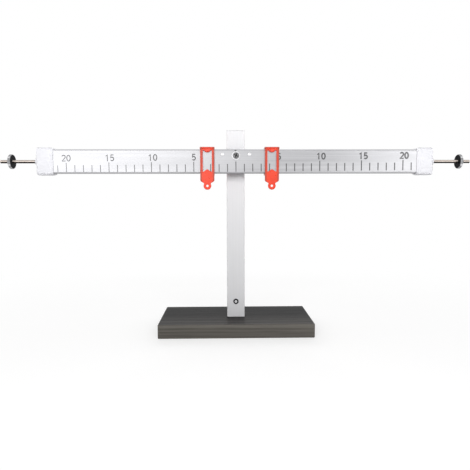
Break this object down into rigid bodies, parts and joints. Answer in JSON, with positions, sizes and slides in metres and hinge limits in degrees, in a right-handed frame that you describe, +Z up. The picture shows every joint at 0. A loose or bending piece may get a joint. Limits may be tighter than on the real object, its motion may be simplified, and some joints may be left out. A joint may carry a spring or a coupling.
{
  "type": "lever balance",
  "caption": "Laboratory lever balance: a graduated beam that tilts on a square post over a slab base, with sliding riders and a thumb nut on the threaded rod at each end.",
  "frame": {"origin": "middle of the base's underside, where the stand meets the table", "axes": "+X along the level beam, to the right of a reader who faces the scale; +Y away from the reader, from the beam towards the post; +Z up"},
  "size_m": [0.5628, 0.087, 0.249],
  "materials": {
    "base_lacquer": "gloss",
    "post_aluminium": "satin",
    "beam_aluminium": "satin",
    "cap_plastic": "satin",
    "rider_plastic": "gloss",
    "rod_steel": "satin",
    "small_steel": "satin",
    "dark_steel": "satin",
    "bush_brass": "satin",
    "nut_plastic": "matte",
    "inner_plastic": "matte"
  },
  "bodies": {
    "stand": {"base_block": "base_lacquer", "post_plug": "inner_plastic", "base_screw_left": "small_steel", "base_screw_right": "small_steel", "post_tube": "post_aluminium", "post_screw": "dark_steel", "axle_bolt": "dark_steel", "axle_washer": "small_steel", "axle_sleeve": "small_steel", "axle_spacer": "inner_plastic", "rear_washer": "small_steel", "axle_nut": "small_steel"},
    "beam": {"beam_profile": "beam_aluminium", "bearing_block": "inner_plastic", "bearing_bush": "bush_brass", "rivet_left": "small_steel", "rivet_right": "small_steel", "end_cap_left": "cap_plastic", "end_cap_right": "cap_plastic", "end_plug_left": "inner_plastic", "end_plug_right": "inner_plastic", "rod_nut_left": "small_steel", "rod_nut_right": "small_steel", "rod_left": "rod_steel", "rod_right": "rod_steel"},
    "left_rider": {"rider_left": "rider_plastic"},
    "right_rider": {"rider_right": "rider_plastic"},
    "left_nut_thread": {"nut_insert_left": "rod_steel"},
    "left_nut_wheel": {"balance_nut_left": "nut_plastic"},
    "right_nut_thread": {"nut_insert_right": "rod_steel"},
    "right_nut_wheel": {"balance_nut_right": "nut_plastic"}
  },
  "joints": [
    {"name": "beam_tilt", "type": "hinge", "parent": "stand", "child": "beam", "pos_m": [0, -0.022, 0.2171], "axis": [0, 1, 0], "range_deg": [-45, 45]},
    {"name": "left_rider_slide", "type": "slide", "parent": "beam", "child": "left_rider", "axis": [1, 0, 0], "range_m": [-0.172, 0.007]},
    {"name": "right_rider_slide", "type": "slide", "parent": "beam", "child": "right_rider", "axis": [1, 0, 0], "range_m": [-0.0156, 0.1646]},
    {"name": "left_nut_travel", "type": "slide", "parent": "beam", "child": "left_nut_thread", "axis": [1, 0, 0], "range_m": [-0.0115, 0.0255]},
    {"name": "left_nut_turn", "type": "hinge", "parent": "left_nut_thread", "child": "left_nut_wheel", "pos_m": [-0.26615, -0.022, 0.2106], "axis": [1, 0, 0], "range_deg": [-5915, 13115]},
    {"name": "right_nut_travel", "type": "slide", "parent": "beam", "child": "right_nut_thread", "axis": [1, 0, 0], "range_m": [-0.0286, 0.0114]},
    {"name": "right_nut_turn", "type": "hinge", "parent": "right_nut_thread", "child": "right_nut_wheel", "pos_m": [0.27045, -0.022, 0.2106], "axis": [1, 0, 0], "range_deg": [-14709, 5863]}
  ],
  "couplings": [
    {"joint": "left_nut_turn", "follows": "left_nut_travel", "rad_per_m": 8976},
    {"joint": "right_nut_turn", "follows": "right_nut_travel", "rad_per_m": 8976}
  ]
}
